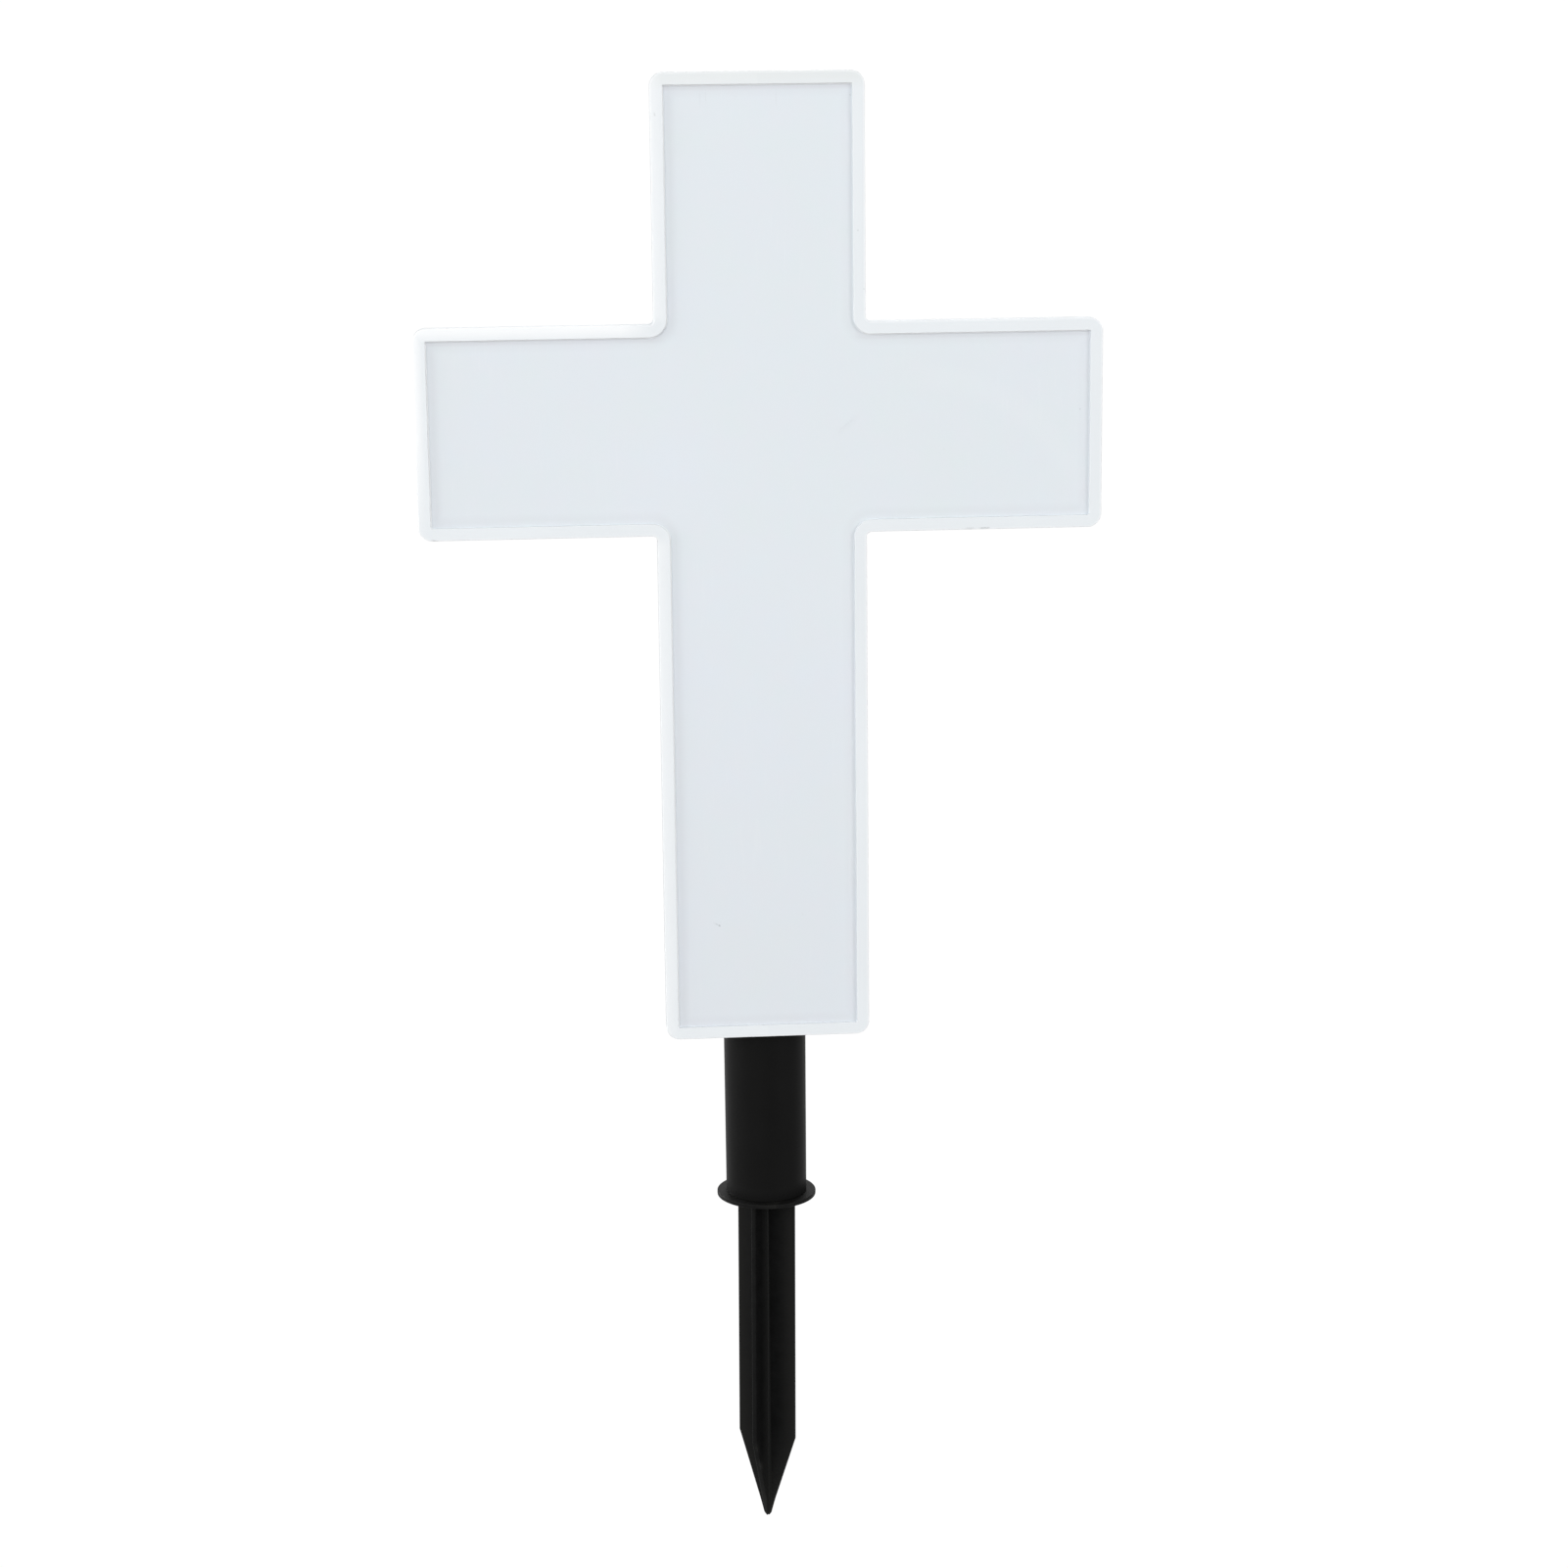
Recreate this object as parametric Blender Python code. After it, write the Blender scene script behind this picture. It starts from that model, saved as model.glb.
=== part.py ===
"""Solar grave cross light.

Metres, +Z up. The cross's face looks towards -Y and its arms run along X. The origin is on the
stake's axis at the ground, where the flange's underside lies on the soil.
"""

import math

import bmesh
import bpy

MM = 0.001
GAP = 0.3 * MM  # between pieces that touch

# The cross from the front. Upright and crossbar are equally wide.
CROSS_HEIGHT = 300 * MM
CROSS_SPAN = 210 * MM
ARM_WIDTH = 64.4 * MM
BAR_HEIGHT = 193 * MM  # middle of the crossbar above the cross's foot
RIM_WIDTH = 3.75 * MM
CORNER_RADIUS = 4.2 * MM  # the rim's outer corners
INNER_CORNER_RADIUS = 1.6 * MM  # the rim's outer edge where the arms meet
CORNER_STEPS = 5

# The cross from the side
DEPTH = 36 * MM
LIP_DEPTH = 4.4 * MM  # the rim stands out round the body this far back
LIP_STEP = 2.75 * MM
LIP_EDGE = 0.8 * MM
EDGE_STEPS = 3
WALL = 2.2 * MM
BACK_WALL = 2.0 * MM
DRAFT = math.radians(1.5)
BODY_CORNER = 5.5 * MM
BACK_RADIUS = 4 * MM
BACK_STEPS = 4
SMALL_EDGE = 0.3 * MM

# The face panel
RECESS = 1.1 * MM  # the panel's face lies this far behind the rim's
PANEL_THICKNESS = 1.8 * MM

# The solar panel on the back of the upper arm
CELL_WIDTH = 44 * MM
CELL_HEIGHT = 60 * MM
CELL_THICKNESS = 1.5 * MM
CELL_MIDDLE = 257 * MM  # above the cross's foot
CELL_SUNK = 0.2 * MM
SEAT_MARGIN = 3 * MM
SEAT_FLOOR = 2 * MM

# The sleeve and its socket
SLEEVE_RADIUS = 13 * MM
SLEEVE_WALL = 1.6 * MM
SLEEVE_SHOWN = 57 * MM
SLEEVE_INSIDE = 26 * MM  # length hidden in the cross
SOCKET_WALL = 1.4 * MM
SOCKET_EXTRA = 2 * MM
WEB_THICKNESS = 2 * MM

# The ground stake
FLANGE_RADIUS = 16 * MM
FLANGE_THICKNESS = 1 * MM
FLANGE_EDGE = 0.25 * MM
SPIGOT_WALL = 1.5 * MM
SPIGOT_HEIGHT = 22 * MM
SPIGOT_FLOOR = 2.2 * MM
STAKE_LENGTH = 113.5 * MM
TAPER_LENGTH = 29 * MM
FIN_REACH = 9.84 * MM
FIN_THICKNESS = 1.4 * MM
TIP_REACH = 0.9 * MM
TIP_LENGTH = 0.8 * MM
STAKE_TURN = math.radians(-30)  # seen from above, against the cross's own axes
ROUND_STEPS = 64

FOOT = FLANGE_THICKNESS + SLEEVE_SHOWN
BAR = FOOT + BAR_HEIGHT
TOP = FOOT + CROSS_HEIGHT
FRONT = -DEPTH / 2
BACK = DEPTH / 2
LIP_BACK = FRONT + LIP_DEPTH
PANEL_FRONT = FRONT + RECESS
PANEL_BACK = PANEL_FRONT + PANEL_THICKNESS
LEDGE = PANEL_BACK + GAP
LEDGE_INSET = LIP_STEP + WALL
INSIDE_BACK = BACK - BACK_WALL
BORE_RADIUS = SLEEVE_RADIUS + GAP


def remove_everything():
    for thing in list(bpy.data.objects):
        bpy.data.objects.remove(thing, do_unlink=True)


def principled(name, colour, roughness, metallic=0.0):
    material = bpy.data.materials.new(name)
    material.use_nodes = True
    shader = material.node_tree.nodes["Principled BSDF"]
    shader.inputs["Base Color"].default_value = (*colour, 1.0)
    shader.inputs["Roughness"].default_value = roughness
    shader.inputs["Metallic"].default_value = metallic
    return material


def object_from(bm, name, material=None):
    """A new object from bm, with its faces outwards and its round faces smooth."""
    bmesh.ops.recalc_face_normals(bm, faces=bm.faces)
    mesh = bpy.data.meshes.new(name)
    bm.to_mesh(mesh)
    bm.free()
    mesh.shade_smooth()
    mesh.set_sharp_from_angle(angle=math.radians(35))
    made = bpy.data.objects.new(name, mesh)
    bpy.context.scene.collection.objects.link(made)
    if material:
        mesh.materials.append(material)
    return made


def rounded_corner(before, corner, after, radius):
    """Points of the quarter circle that rounds a right-angled corner of a path."""
    arrive = [(c - b) / math.dist(before, corner) for b, c in zip(before, corner)]
    leave = [(a - c) / math.dist(corner, after) for c, a in zip(corner, after)]
    centre = [c + radius * (v - u) for c, u, v in zip(corner, arrive, leave)]
    points = []
    for step in range(CORNER_STEPS + 1):
        turn = math.pi / 2 * step / CORNER_STEPS
        points.append(
            tuple(
                c + radius * (u * math.sin(turn) - v * math.cos(turn))
                for c, u, v in zip(centre, arrive, leave)
            )
        )
    return points


def cross_outline(inset, y, corner_radius):
    """The cross's outline moved inwards by inset, as points at depth y. Every call gives as many."""
    half = ARM_WIDTH / 2 - inset
    reach = CROSS_SPAN / 2 - inset
    low, high = FOOT + inset, TOP - inset
    right = [
        ((half, low), True),
        ((half, BAR - half), False),
        ((reach, BAR - half), True),
        ((reach, BAR + half), True),
        ((half, BAR + half), False),
        ((half, high), True),
    ]
    left = [((-x, z), convex) for (x, z), convex in reversed(right)]
    corners = right + left
    points = []
    for index, (corner, convex) in enumerate(corners):
        before = corners[index - 1][0]
        after = corners[(index + 1) % len(corners)][0]
        radius = corner_radius if convex else INNER_CORNER_RADIUS + inset
        points += rounded_corner(before, corner, after, radius)
    return [(x, y, z) for x, z in points]


def quarter(steps):
    """Sine and cosine along a quarter turn."""
    turns = [math.pi / 2 * step / steps for step in range(steps + 1)]
    return [(math.sin(turn), math.cos(turn)) for turn in turns]


def loft(rings):
    """A closed skin through rings of equally many points, with its first and last ring capped."""
    bm = bmesh.new()
    rows = [[bm.verts.new(point) for point in ring] for ring in rings]
    for row, following in zip(rows, rows[1:]):
        for index in range(len(row)):
            after = (index + 1) % len(row)
            bm.faces.new((row[index], row[after], following[after], following[index]))
    bm.faces.new(rows[0])
    bm.faces.new(rows[-1])
    return bm


def turned(profile):
    """A profile of radius and height spun round the Z axis."""
    bm = bmesh.new()
    points = [bm.verts.new((radius, 0, height)) for radius, height in profile]
    edges = [bm.edges.new(pair) for pair in zip(points, points[1:])]
    if profile[0][0] > 0:
        edges.append(bm.edges.new((points[-1], points[0])))
    bmesh.ops.spin(
        bm,
        geom=points + edges,
        cent=(0, 0, 0),
        axis=(0, 0, 1),
        dvec=(0, 0, 0),
        angle=math.tau,
        steps=ROUND_STEPS,
        use_merge=True,
    )
    bmesh.ops.remove_doubles(bm, verts=bm.verts, dist=1e-7)
    return bm


def block(low, high):
    """A box between two corners."""
    bm = bmesh.new()
    bmesh.ops.create_cube(bm, size=1)
    for vert in bm.verts:
        vert.co = [a if c < 0 else b for c, a, b in zip(vert.co, low, high)]
    return bm


def combine(target, helper, operation):
    """Joins helper to target, or cuts it out of target, and hides helper."""
    modifier = target.modifiers.new(helper.name, "BOOLEAN")
    modifier.operation = operation
    modifier.object = helper
    modifier.solver = "EXACT"
    helper.hide_render = True
    helper.display_type = "WIRE"


def body_inset(y):
    """How far the body's side lies inside the rim's outer edge at depth y, with its draft."""
    return LIP_STEP + (y - LIP_BACK) * math.tan(DRAFT)


def body_ring(inset, y):
    return cross_outline(inset, y, BODY_CORNER + LIP_STEP - inset)


def lip_ring(inset, y):
    return cross_outline(inset, y, max(CORNER_RADIUS - inset, SMALL_EDGE))


def tray_rings():
    """The tray's skin from the middle of its back, round the rim, to the floor inside it."""
    bend = BACK - BACK_RADIUS
    rings = []
    for sine, cosine in reversed(quarter(BACK_STEPS)):
        inset = body_inset(bend) + BACK_RADIUS * (1 - cosine)
        rings.append(body_ring(inset, bend + BACK_RADIUS * sine))
    rings.append(body_ring(LIP_STEP, LIP_BACK))
    rings.append(lip_ring(SMALL_EDGE, LIP_BACK))
    rings.append(lip_ring(0, LIP_BACK - SMALL_EDGE))
    for sine, cosine in quarter(EDGE_STEPS):
        rings.append(lip_ring(LIP_EDGE * (1 - cosine), FRONT + LIP_EDGE * (1 - sine)))
    rings.append(lip_ring(RIM_WIDTH - SMALL_EDGE, FRONT))
    rings.append(lip_ring(RIM_WIDTH, FRONT + SMALL_EDGE))
    rings.append(lip_ring(RIM_WIDTH, LEDGE))
    rings.append(body_ring(LEDGE_INSET, LEDGE))
    rings.append(body_ring(body_inset(INSIDE_BACK) + WALL, INSIDE_BACK))
    return rings


def make_housing():
    material = principled("white_plastic", (0.84, 0.86, 0.86), 0.35)
    housing = object_from(loft(tray_rings()), "housing", material)

    floor = FOOT + LIP_STEP + WALL / 2
    socket_top = FOOT + SLEEVE_INSIDE + SOCKET_EXTRA
    socket_radius = BORE_RADIUS + SOCKET_WALL
    socket = [(0, floor), (socket_radius, floor), (socket_radius, socket_top), (0, socket_top)]
    combine(housing, object_from(turned(socket), "socket_wall"), "UNION")

    overlap = 0.5 * MM
    web_low = (-WEB_THICKNESS / 2, BORE_RADIUS + overlap, floor)
    web_high = (WEB_THICKNESS / 2, INSIDE_BACK + overlap, socket_top - SMALL_EDGE)
    combine(housing, object_from(block(web_low, web_high), "socket_web"), "UNION")

    seat_depth = CELL_THICKNESS + CELL_SUNK + GAP
    half_width, half_height = CELL_WIDTH / 2, CELL_HEIGHT / 2
    middle = FOOT + CELL_MIDDLE
    pad_y = BACK - seat_depth - SEAT_FLOOR
    pad_low = (-half_width - SEAT_MARGIN, pad_y, middle - half_height - SEAT_MARGIN)
    pad_high = (half_width + SEAT_MARGIN, INSIDE_BACK + overlap, middle + half_height + SEAT_MARGIN)
    combine(housing, object_from(block(pad_low, pad_high), "cell_pad"), "UNION")

    seat_low = (-half_width - GAP, BACK - seat_depth, middle - half_height - GAP)
    seat_high = (half_width + GAP, BACK + seat_depth, middle + half_height + GAP)
    combine(housing, object_from(block(seat_low, seat_high), "cell_seat"), "DIFFERENCE")

    bore_low, bore_high = FOOT - SLEEVE_RADIUS, socket_top + SLEEVE_RADIUS
    bore = [(0, bore_low), (BORE_RADIUS, bore_low), (BORE_RADIUS, bore_high), (0, bore_high)]
    combine(housing, object_from(turned(bore), "sleeve_bore"), "DIFFERENCE")


def make_face_panel():
    """The opal panel: its back is flat and its front edge is broken all round."""
    material = principled("opal_plastic", (0.78, 0.82, 0.85), 0.3)
    inset = RIM_WIDTH + GAP
    rings = [
        lip_ring(inset + SMALL_EDGE / 2, PANEL_FRONT),
        lip_ring(inset, PANEL_FRONT + SMALL_EDGE / 2),
        lip_ring(inset, PANEL_BACK),
    ]
    object_from(loft(rings), "face_panel", material)


def make_solar_panel():
    material = principled("solar_cell", (0.012, 0.016, 0.035), 0.15)
    middle = FOOT + CELL_MIDDLE
    outer = BACK - CELL_SUNK
    low = (-CELL_WIDTH / 2, outer - CELL_THICKNESS, middle - CELL_HEIGHT / 2)
    high = (CELL_WIDTH / 2, outer, middle + CELL_HEIGHT / 2)
    panel = object_from(block(low, high), "solar_panel", material)
    bevel = panel.modifiers.new("broken_edges", "BEVEL")
    bevel.width = SMALL_EDGE
    bevel.segments = 2


def make_sleeve():
    material = principled("black_tube", (0.012, 0.012, 0.012), 0.35)
    low = FLANGE_THICKNESS + GAP
    high = FOOT + SLEEVE_INSIDE
    bore = SLEEVE_RADIUS - SLEEVE_WALL
    profile = [
        (bore, low),
        (SLEEVE_RADIUS - SMALL_EDGE / 2, low),
        (SLEEVE_RADIUS, low + SMALL_EDGE / 2),
        (SLEEVE_RADIUS, high - SMALL_EDGE),
        (SLEEVE_RADIUS - SMALL_EDGE, high),
        (bore, high),
    ]
    object_from(turned(profile), "sleeve", material)


def fin_section(reach, half_thickness, z):
    """A plus with arms as long as reach, turned as the stake is."""
    quadrant = [(reach, -half_thickness), (reach, half_thickness), (half_thickness, half_thickness)]
    points = []
    for arm in range(4):
        turn = STAKE_TURN + arm * math.pi / 2
        for x, y in quadrant:
            across = x * math.cos(turn) - y * math.sin(turn)
            along = x * math.sin(turn) + y * math.cos(turn)
            points.append((across, along, z))
    return points


def make_ground_stake():
    """The flange with the spigot above it, and below it four fins that taper to a blunt point."""
    material = principled("black_stake", (0.013, 0.013, 0.013), 0.4)
    spigot = SLEEVE_RADIUS - SLEEVE_WALL - GAP
    top = FLANGE_THICKNESS + SPIGOT_HEIGHT
    profile = [
        (0, 0),
        (FLANGE_RADIUS - FLANGE_EDGE, 0),
        (FLANGE_RADIUS, FLANGE_EDGE),
        (FLANGE_RADIUS, FLANGE_THICKNESS - FLANGE_EDGE),
        (FLANGE_RADIUS - FLANGE_EDGE, FLANGE_THICKNESS),
        (spigot, FLANGE_THICKNESS),
        (spigot, top - SMALL_EDGE),
        (spigot - SMALL_EDGE, top),
        (spigot - SPIGOT_WALL, top),
        (spigot - SPIGOT_WALL, SPIGOT_FLOOR),
        (0, SPIGOT_FLOOR),
    ]
    stake = object_from(turned(profile), "ground_stake", material)
    half = FIN_THICKNESS / 2
    rings = [
        fin_section(FIN_REACH, half, SPIGOT_FLOOR / 2),
        fin_section(FIN_REACH, half, TAPER_LENGTH - STAKE_LENGTH),
        fin_section(TIP_REACH, half, TIP_LENGTH - STAKE_LENGTH),
        fin_section(TIP_REACH / 2, half / 2, -STAKE_LENGTH),
    ]
    combine(stake, object_from(loft(rings), "fins"), "UNION")


def main():
    remove_everything()
    make_housing()
    make_face_panel()
    make_solar_panel()
    make_sleeve()
    make_ground_stake()


main()
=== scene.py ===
"""Solar grave cross light: a white moulded cross with an opal face panel, and a solar panel on its back, on
a black tube and a black ground stake. Metres, +Z up, the face looking towards -Y and the ground at Z = 0."""

from math import cos, hypot, pi, radians, sin, tan, tau

import bmesh
import bpy
from bpy.props import FloatProperty, FloatVectorProperty, PointerProperty
from mathutils import Euler, Matrix, Vector


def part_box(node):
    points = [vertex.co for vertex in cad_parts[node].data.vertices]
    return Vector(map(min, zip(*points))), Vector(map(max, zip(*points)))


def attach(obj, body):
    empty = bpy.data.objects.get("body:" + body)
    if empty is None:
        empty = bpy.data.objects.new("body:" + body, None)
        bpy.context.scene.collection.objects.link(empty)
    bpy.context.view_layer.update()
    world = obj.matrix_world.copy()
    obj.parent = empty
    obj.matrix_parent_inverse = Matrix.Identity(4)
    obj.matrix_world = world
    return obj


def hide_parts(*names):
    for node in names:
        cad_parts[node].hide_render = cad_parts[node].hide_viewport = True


bl_info = {
    "name": "Solar grave cross light",
    "version": (1, 0, 0),
    "blender": (4, 5, 0),
    "location": "3D View > Sidebar > Grave Light",
    "description": "Models a solar grave cross light on its ground stake, with its finishes and its studio",
    "category": "Object",
}

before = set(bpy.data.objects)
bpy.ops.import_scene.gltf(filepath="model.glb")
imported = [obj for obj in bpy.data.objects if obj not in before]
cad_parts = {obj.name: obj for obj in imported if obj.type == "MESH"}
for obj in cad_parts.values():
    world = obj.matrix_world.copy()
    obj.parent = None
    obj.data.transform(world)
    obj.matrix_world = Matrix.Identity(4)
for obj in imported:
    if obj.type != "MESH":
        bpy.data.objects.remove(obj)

MM = 0.001
NEAR = 0.01 * MM  # how close a point lies to the place it is picked by

CROSS_LOW, CROSS_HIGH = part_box("housing")
CELL_LOW, CELL_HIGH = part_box("solar_panel")
TUBE_LOW, TUBE_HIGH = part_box("sleeve")
STAKE_LOW, STAKE_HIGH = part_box("ground_stake")
PANEL_LOW, PANEL_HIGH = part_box("face_panel")
FOOT, TOP = CROSS_LOW.z, CROSS_HIGH.z
FRONT, BACK = CROSS_LOW.y, CROSS_HIGH.y
SEAT = TUBE_LOW.z - 0.4 * MM  # where the tube's foot stands on the stake's flange


# Sizes, colours and lights

def length(name, description, default):
    return FloatProperty(name=name, description=description, default=default, unit="LENGTH", precision=5)


def angle(name, description, default):
    return FloatProperty(name=name, description=description, default=radians(default), unit="ROTATION")


def colour(name, description, default):
    return FloatVectorProperty(
        name=name, description=description, default=default, subtype="COLOR", min=0, max=1)


def power(name, description, default):
    return FloatProperty(name=name, description=description, default=default, unit="POWER", min=0)


def glow(name, description, default):
    return FloatProperty(name=name, description=description, default=default, min=0)


class CrossSizes(bpy.types.PropertyGroup):
    """The white cross, its rim and its walls."""

    arm_width: length("Arm width", "Width of the upright and of the crossbar", 64.4 * MM)
    bar_height: length("Bar height", "Middle of the crossbar above the foot", 193 * MM)
    rim_width: length("Rim width", "Raised rim round the face panel", 3.75 * MM)
    rim_corner: length("Rim corner", "Radius of the rim's outer corners", 4.2 * MM)
    rim_hollow: length("Rim hollow", "Radius of the rim's outer edge where the arms meet", 1.6 * MM)
    rim_edge: length("Rim edge", "Rounding of the rim's outer edge", 0.3 * MM)
    rim_lip: length("Rim lip", "Rounding of the rim's edge beside the panel", 0.05 * MM)
    rim_depth: length("Rim depth", "How far back the rim stands out round the body", 4.4 * MM)
    body_step: length("Body step", "How far the body lies inside the rim's outer edge", 2.75 * MM)
    body_corner: length("Body corner", "Radius of the body's corners", 5.5 * MM)
    body_draft: angle("Body draft", "How far the body's sides lean in towards its back", 1.5)
    back_edge: length("Back edge", "Rounding of the body's back edge", 4 * MM)
    wall: length("Wall", "Thickness of the side walls", 2.2 * MM)
    back_wall: length("Back wall", "Thickness of the back wall", 2 * MM)


class PanelSizes(bpy.types.PropertyGroup):
    """The opal face panel and the solar panel."""

    seam: length("Seam", "Gap between the face panel and the rim", 0.005 * MM)
    panel_edge: length("Panel edge", "Rounding of the face panel's front edge", 0.02 * MM)
    cell_seam: length("Cell seam", "Gap round the solar panel in its seat", 0.3 * MM)
    cell_border: length("Cell border", "Plain border of the solar panel", 1.6 * MM)
    cell_gap: length("Cell gap", "Gap between two solar cells", 0.5 * MM)
    busbar: length("Busbar", "Width of the silver line along a cell", 0.9 * MM)


class StakeSizes(bpy.types.PropertyGroup):
    """The black tube and the ground stake."""

    tube_wall: length("Tube wall", "Thickness of the tube's wall", 1.6 * MM)
    tube_spread: length("Tube spread", "How much further out the tube's wall lies at its top", 0.25 * MM)
    flange: length("Flange", "Thickness of the round flange", 1.35 * MM)
    flange_edge: length("Flange edge", "Rounding of the flange's edge", 0.25 * MM)
    fin_reach: length("Fin reach", "From the stake's axis to a fin's outer edge", 10.1 * MM)
    fin_thickness: length("Fin thickness", "Thickness of a fin", 1.4 * MM)
    fin_edge: length("Fin edge", "Rounding of a fin's outer edges", 0.35 * MM)
    fin_root: length("Fin root", "Rounding between two fins", 0.25 * MM)
    taper: length("Taper", "Length over which the fins run down to the point", 29 * MM)
    tip_reach: length("Tip reach", "What is left of the fins at the blunt point", 0.9 * MM)
    turn: angle("Turn", "How far the fins are turned from the cross's own axes", -30)
    lean: angle("Lean", "How far the stake leans to the left in the tube", 0.39)
    aside: length("Aside", "How far the tube and the stake stand to the right in the socket", 0.15 * MM)


class Finishes(bpy.types.PropertyGroup):
    """The base colours of the plastics and the cells."""

    white: colour("White plastic", "The moulded cross", (0.785, 0.82, 0.845))
    opal: colour("Opal plastic", "The face panel", (0.732, 0.7755, 0.808))
    tube: colour("Black tube", "The tube between the cross and the stake", (0.0035, 0.0035, 0.0034))
    stake: colour("Black stake", "The moulded ground stake", (0.0052, 0.0052, 0.0052))
    cell: colour("Solar cell", "The silicon under its resin", (0.006, 0.012, 0.045))


class StudioSettings(bpy.types.PropertyGroup):
    """The camera, the lamps and the pale floor."""

    camera_place: FloatVectorProperty(
        name="Camera place",
        description="Where the camera stands",
        default=(-0.0768, -1.0578, 0.3771),
        unit="LENGTH",
        subtype="TRANSLATION",
    )
    camera_yaw: angle("Camera yaw", "How far the camera is turned to its right", 4.543)
    camera_tilt: angle("Camera tilt", "How far the camera looks down", 12.806)
    camera_roll: angle("Camera roll", "How far the camera leans", -0.589)
    focal_length: FloatProperty(
        name="Focal length", description="In millimetres", default=78.7, unit="CAMERA")
    key_power: power("Key light", "The large softbox in front, on the left", 75)
    fill_power: power("Fill light", "The large softbox in front, on the right", 68)
    left_power: power("Left light", "The softbox beside the cross, on the left", 20)
    rear_power: power("Rear light", "The small softbox behind, on the left, for the black pieces", 12.5)
    back_power: power("Back light", "The softbox high up behind the cross", 31)
    side_power: power("Side light", "The softbox behind, on the right, for the white housing", 17)
    backdrop_glow: glow("Backdrop glow", "How much the backdrop shines", 0.3)
    floor_glow: glow("Floor glow", "How much the floor shines", 0.325)
    room_light: glow("Room light", "How much light comes from all round", 0.35)
    floor_white: colour("Floor", "The floor's own colour, in the reflections", (0.15, 0.15, 0.15))


# Selecting and editing, as by hand

def clear_selection():
    bpy.ops.object.select_all(action="DESELECT")


def choose(piece):
    """Makes piece the only selected object."""
    clear_selection()
    piece.select_set(True)
    bpy.context.view_layer.objects.active = piece


def edit(piece):
    choose(piece)
    bpy.ops.object.mode_set(mode="EDIT")


def leave():
    bpy.ops.object.mode_set(mode="OBJECT")


def pick(piece, kind, wanted):
    """Selects only those elements of the edited piece whose middle and self pass the test."""
    bpy.ops.mesh.select_mode(type=kind)
    bpy.ops.mesh.select_all(action="DESELECT")
    mesh = bmesh.from_edit_mesh(piece.data)
    picked = 0
    for element in {"VERT": mesh.verts, "EDGE": mesh.edges, "FACE": mesh.faces}[kind]:
        corners = [element] if kind == "VERT" else element.verts
        middle = sum((corner.co for corner in corners), Vector()) / len(corners)
        if wanted(middle, element):
            element.select_set(True)
            picked += 1
    mesh.select_flush_mode()
    bmesh.update_edit_mesh(piece.data)
    if not picked:
        raise RuntimeError(f"nothing to pick on {piece.name}")


def tidy_mesh(piece):
    """Merges what lies together on the edited piece and turns its faces outwards."""
    bpy.ops.mesh.select_mode(type="FACE")
    bpy.ops.mesh.select_all(action="SELECT")
    bpy.ops.mesh.remove_doubles(threshold=NEAR / 10)
    bpy.ops.mesh.normals_make_consistent(inside=False)
    if bmesh.from_edit_mesh(piece.data).calc_volume(signed=True) < 0:
        bpy.ops.mesh.flip_normals()


def fill_opening(piece):
    """Closes the edited piece's one open outline with a face."""
    pick(piece, "EDGE", lambda middle, edge: edge.is_boundary)
    bpy.ops.mesh.edge_face_add()
    tidy_mesh(piece)


def carry(x=0, y=0, z=0):
    """Carries what is selected on the edited piece along, with new walls or edges behind it."""
    bpy.ops.mesh.extrude_region_move(TRANSFORM_OT_translate={"value": (x, y, z)})


def cut_at(level):
    """Cuts what is selected on the edited piece along a level."""
    bpy.ops.mesh.bisect(plane_co=(0, 0, level), plane_no=(0, 0, 1))


def bevel(kind, offset, steps):
    bpy.ops.mesh.bevel(affect=kind, offset=offset, segments=steps)


def follow(steps):
    """Carries the selected face on by each step's inset and rise, with a wall behind it."""
    for inset, rise in steps:
        bpy.ops.mesh.inset(thickness=inset, depth=rise, use_even_offset=True, use_boundary=True)


def over_edge(radius, steps):
    """Insets and rises of a face that goes round an outer edge, from the side to the front."""
    turns = [pi / 2 * step / steps for step in range(steps + 1)]
    return [
        (radius * (cos(a) - cos(b)), radius * (sin(b) - sin(a)))
        for a, b in zip(turns, turns[1:])
    ]


def into_hollow(radius, steps):
    """Insets and rises of a face that goes from the front round an inner edge and down."""
    return [(rise, -inset) for inset, rise in over_edge(radius, steps)]


def combine(piece, helper, operation):
    """Joins a helper to a piece, or cuts it out of the piece, and removes the helper."""
    modifier = piece.modifiers.new(helper.name, "BOOLEAN")
    modifier.operation = operation
    modifier.object = helper
    modifier.solver = "EXACT"
    choose(piece)
    bpy.ops.object.modifier_apply(modifier=modifier.name)
    bpy.data.objects.remove(helper)


def sized(name, scale):
    """The new piece with its name, and with its place and size put into its mesh."""
    piece = bpy.context.object
    piece.name = name
    piece.data.name = name
    piece.scale = scale
    bpy.ops.object.transform_apply(location=True, rotation=True, scale=True)
    return piece


def flat_square(name, width, height, middle, rotation=(0, 0, 0)):
    """A flat rectangle, placed in its mesh, whose object sits at the origin."""
    clear_selection()
    bpy.ops.mesh.primitive_plane_add(size=1, location=middle, rotation=rotation)
    return sized(name, (width, height, 1))


def block(name, low, high):
    """A box between two corners, placed in its mesh."""
    clear_selection()
    middle = [(a + b) / 2 for a, b in zip(low, high)]
    bpy.ops.mesh.primitive_cube_add(size=1, location=middle)
    return sized(name, [b - a for a, b in zip(low, high)])


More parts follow.
